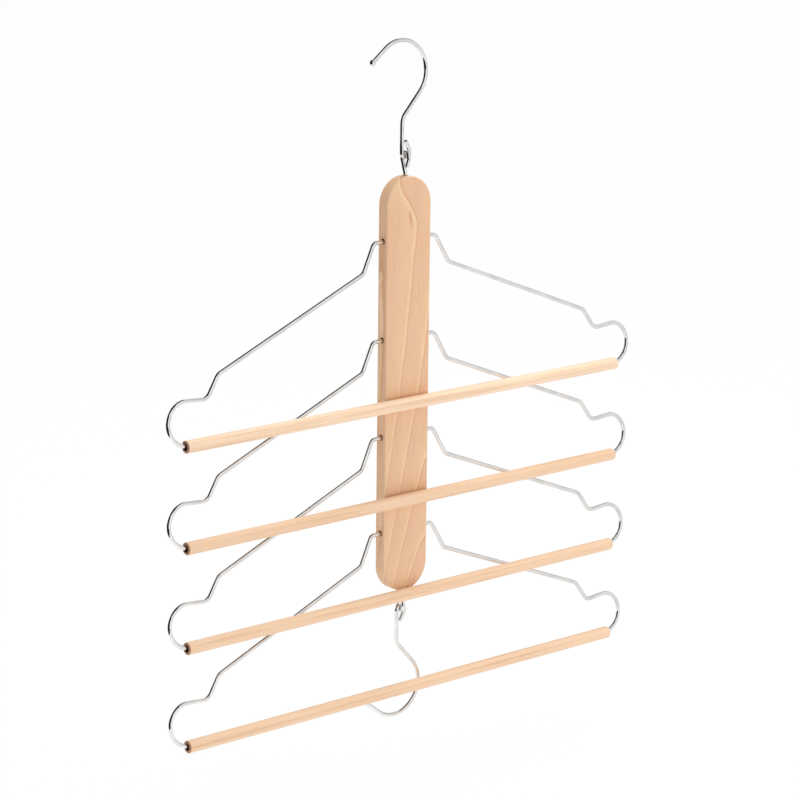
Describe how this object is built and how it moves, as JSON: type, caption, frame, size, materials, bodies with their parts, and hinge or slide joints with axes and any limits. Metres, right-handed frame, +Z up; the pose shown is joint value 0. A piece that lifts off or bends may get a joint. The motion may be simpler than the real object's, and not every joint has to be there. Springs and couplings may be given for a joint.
{
  "type": "tiered trouser hanger",
  "caption": "Wooden plank on a wire hook, with swing-out wire tiers that each carry a wooden rod for trousers, and a lower hook for a further hanger.",
  "frame": {"origin": "inside of the top hook's crown, where the hook sits on a rail", "axes": "+Z up, +X along the rods, +Y from the rods towards the back of the plank"},
  "size_m": [0.4288, 0.0206, 0.4967],
  "materials": {
    "wire_chrome": "bright plated",
    "plank_wood": "smooth, clear satin lacquer",
    "rod_wood": "smooth, bare or thinly lacquered"
  },
  "bodies": {
    "top_hook": {"top_hook": "wire_chrome"},
    "plank": {"plank": "plank_wood", "top_screw_eye": "wire_chrome", "bottom_screw_eye": "wire_chrome"},
    "tier_1": {"swing_wire_1": "wire_chrome"},
    "tier_2": {"swing_wire_2": "wire_chrome"},
    "tier_3": {"swing_wire_3": "wire_chrome"},
    "tier_4": {"swing_wire_4": "wire_chrome"},
    "rod_1": {"rod_1": "rod_wood"},
    "rod_2": {"rod_2": "rod_wood"},
    "rod_3": {"rod_3": "rod_wood"},
    "rod_4": {"rod_4": "rod_wood"},
    "bottom_hook": {"bottom_hook": "wire_chrome"}
  },
  "joints": [
    {"name": "plank_sway", "type": "hinge", "parent": "top_hook", "child": "plank", "pos_m": [0.005, 0, -0.07766], "axis": [0, 1, 0], "range_deg": [-30, 30]},
    {"name": "tier_1_swing", "type": "hinge", "parent": "plank", "child": "tier_1", "pos_m": [0.005, 0, -0.13896], "axis": [-1, 0, 0], "range_deg": [0, 150]},
    {"name": "tier_2_swing", "type": "hinge", "parent": "plank", "child": "tier_2", "pos_m": [0.005, 0, -0.20996], "axis": [-1, 0, 0], "range_deg": [0, 150]},
    {"name": "tier_3_swing", "type": "hinge", "parent": "plank", "child": "tier_3", "pos_m": [0.005, 0, -0.28096], "axis": [-1, 0, 0], "range_deg": [0, 150]},
    {"name": "tier_4_swing", "type": "hinge", "parent": "plank", "child": "tier_4", "pos_m": [0.005, 0, -0.35196], "axis": [-1, 0, 0], "range_deg": [0, 150]},
    {"name": "rod_1_spin", "type": "hinge", "parent": "tier_1", "child": "rod_1", "pos_m": [0.005, -0.01099, -0.25579], "axis": [1, 0, 0], "continuous": true},
    {"name": "rod_2_spin", "type": "hinge", "parent": "tier_2", "child": "rod_2", "pos_m": [0.005, -0.01099, -0.32679], "axis": [1, 0, 0], "continuous": true},
    {"name": "rod_3_spin", "type": "hinge", "parent": "tier_3", "child": "rod_3", "pos_m": [0.005, -0.01099, -0.39779], "axis": [1, 0, 0], "continuous": true},
    {"name": "rod_4_spin", "type": "hinge", "parent": "tier_4", "child": "rod_4", "pos_m": [0.005, -0.01099, -0.46879], "axis": [1, 0, 0], "continuous": true},
    {"name": "bottom_hook_sway", "type": "hinge", "parent": "plank", "child": "bottom_hook", "pos_m": [0.005, 0, -0.41326], "axis": [0, 1, 0], "range_deg": [-40, 40]}
  ],
  "couplings": [
    {"joint": "tier_2_swing", "follows": "tier_1_swing", "ratio": 1},
    {"joint": "tier_3_swing", "follows": "tier_1_swing", "ratio": 1},
    {"joint": "tier_4_swing", "follows": "tier_1_swing", "ratio": 1}
  ]
}
